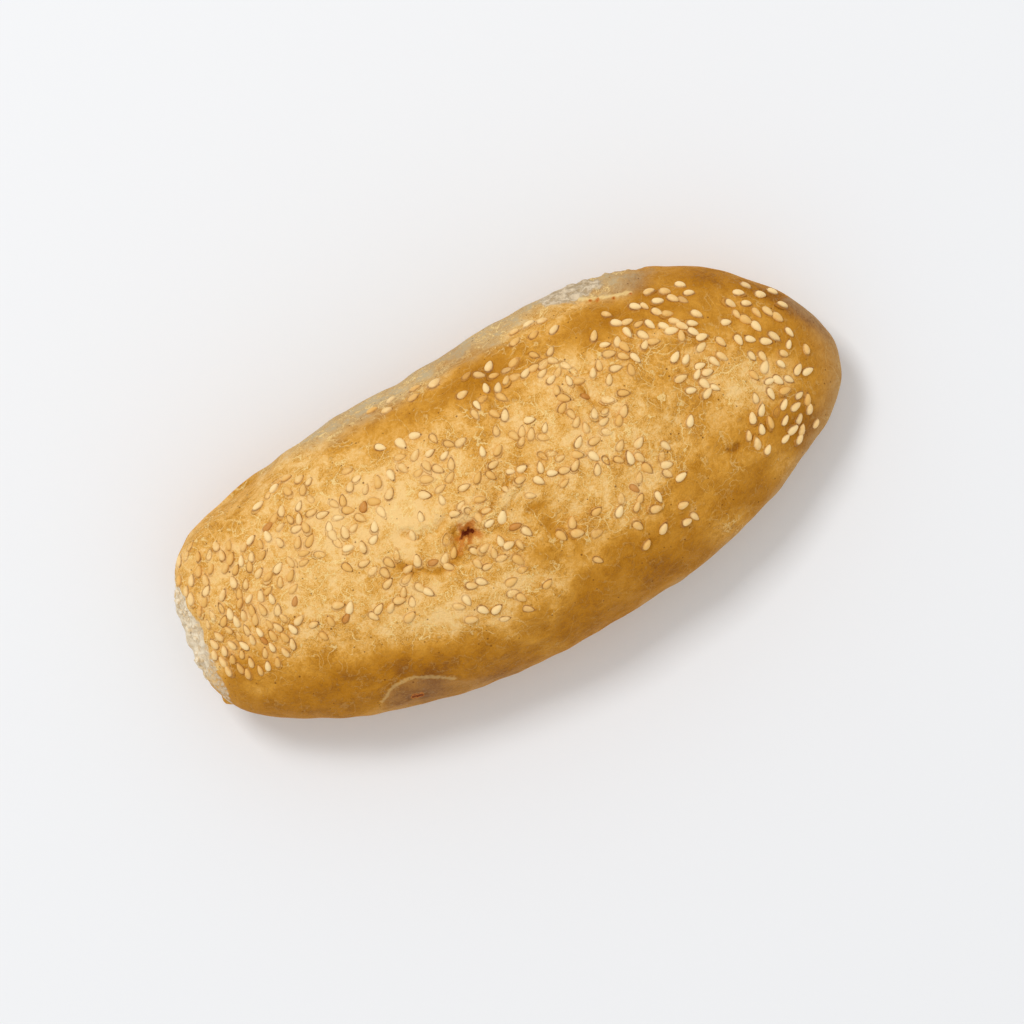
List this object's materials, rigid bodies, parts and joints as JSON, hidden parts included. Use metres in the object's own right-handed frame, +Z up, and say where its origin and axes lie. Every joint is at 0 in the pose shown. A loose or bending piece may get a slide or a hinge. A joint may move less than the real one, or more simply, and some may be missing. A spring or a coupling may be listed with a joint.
{
  "type": "bread roll",
  "caption": "Long oval soft bread roll with a golden crust strewn with sesame seeds, torn from its neighbours at one end and along one side",
  "frame": {"origin": "Middle of the underside's bounding box, on the flat base that the roll was baked on and rests on", "axes": "+X along the roll from the torn end to the round end, +Y across it toward the side split, +Z up"},
  "size_m": [0.1785, 0.0808, 0.051],
  "materials": {
    "crust": "baked golden crust, softly satin, paler over the crown and browner down the sides",
    "sesame": "baked cream sesame seed, satin",
    "crumb": "torn white crumb, dull and ragged"
  },
  "bodies": {
    "root": {"bread_roll": "crust"}
  },
  "joints": []
}
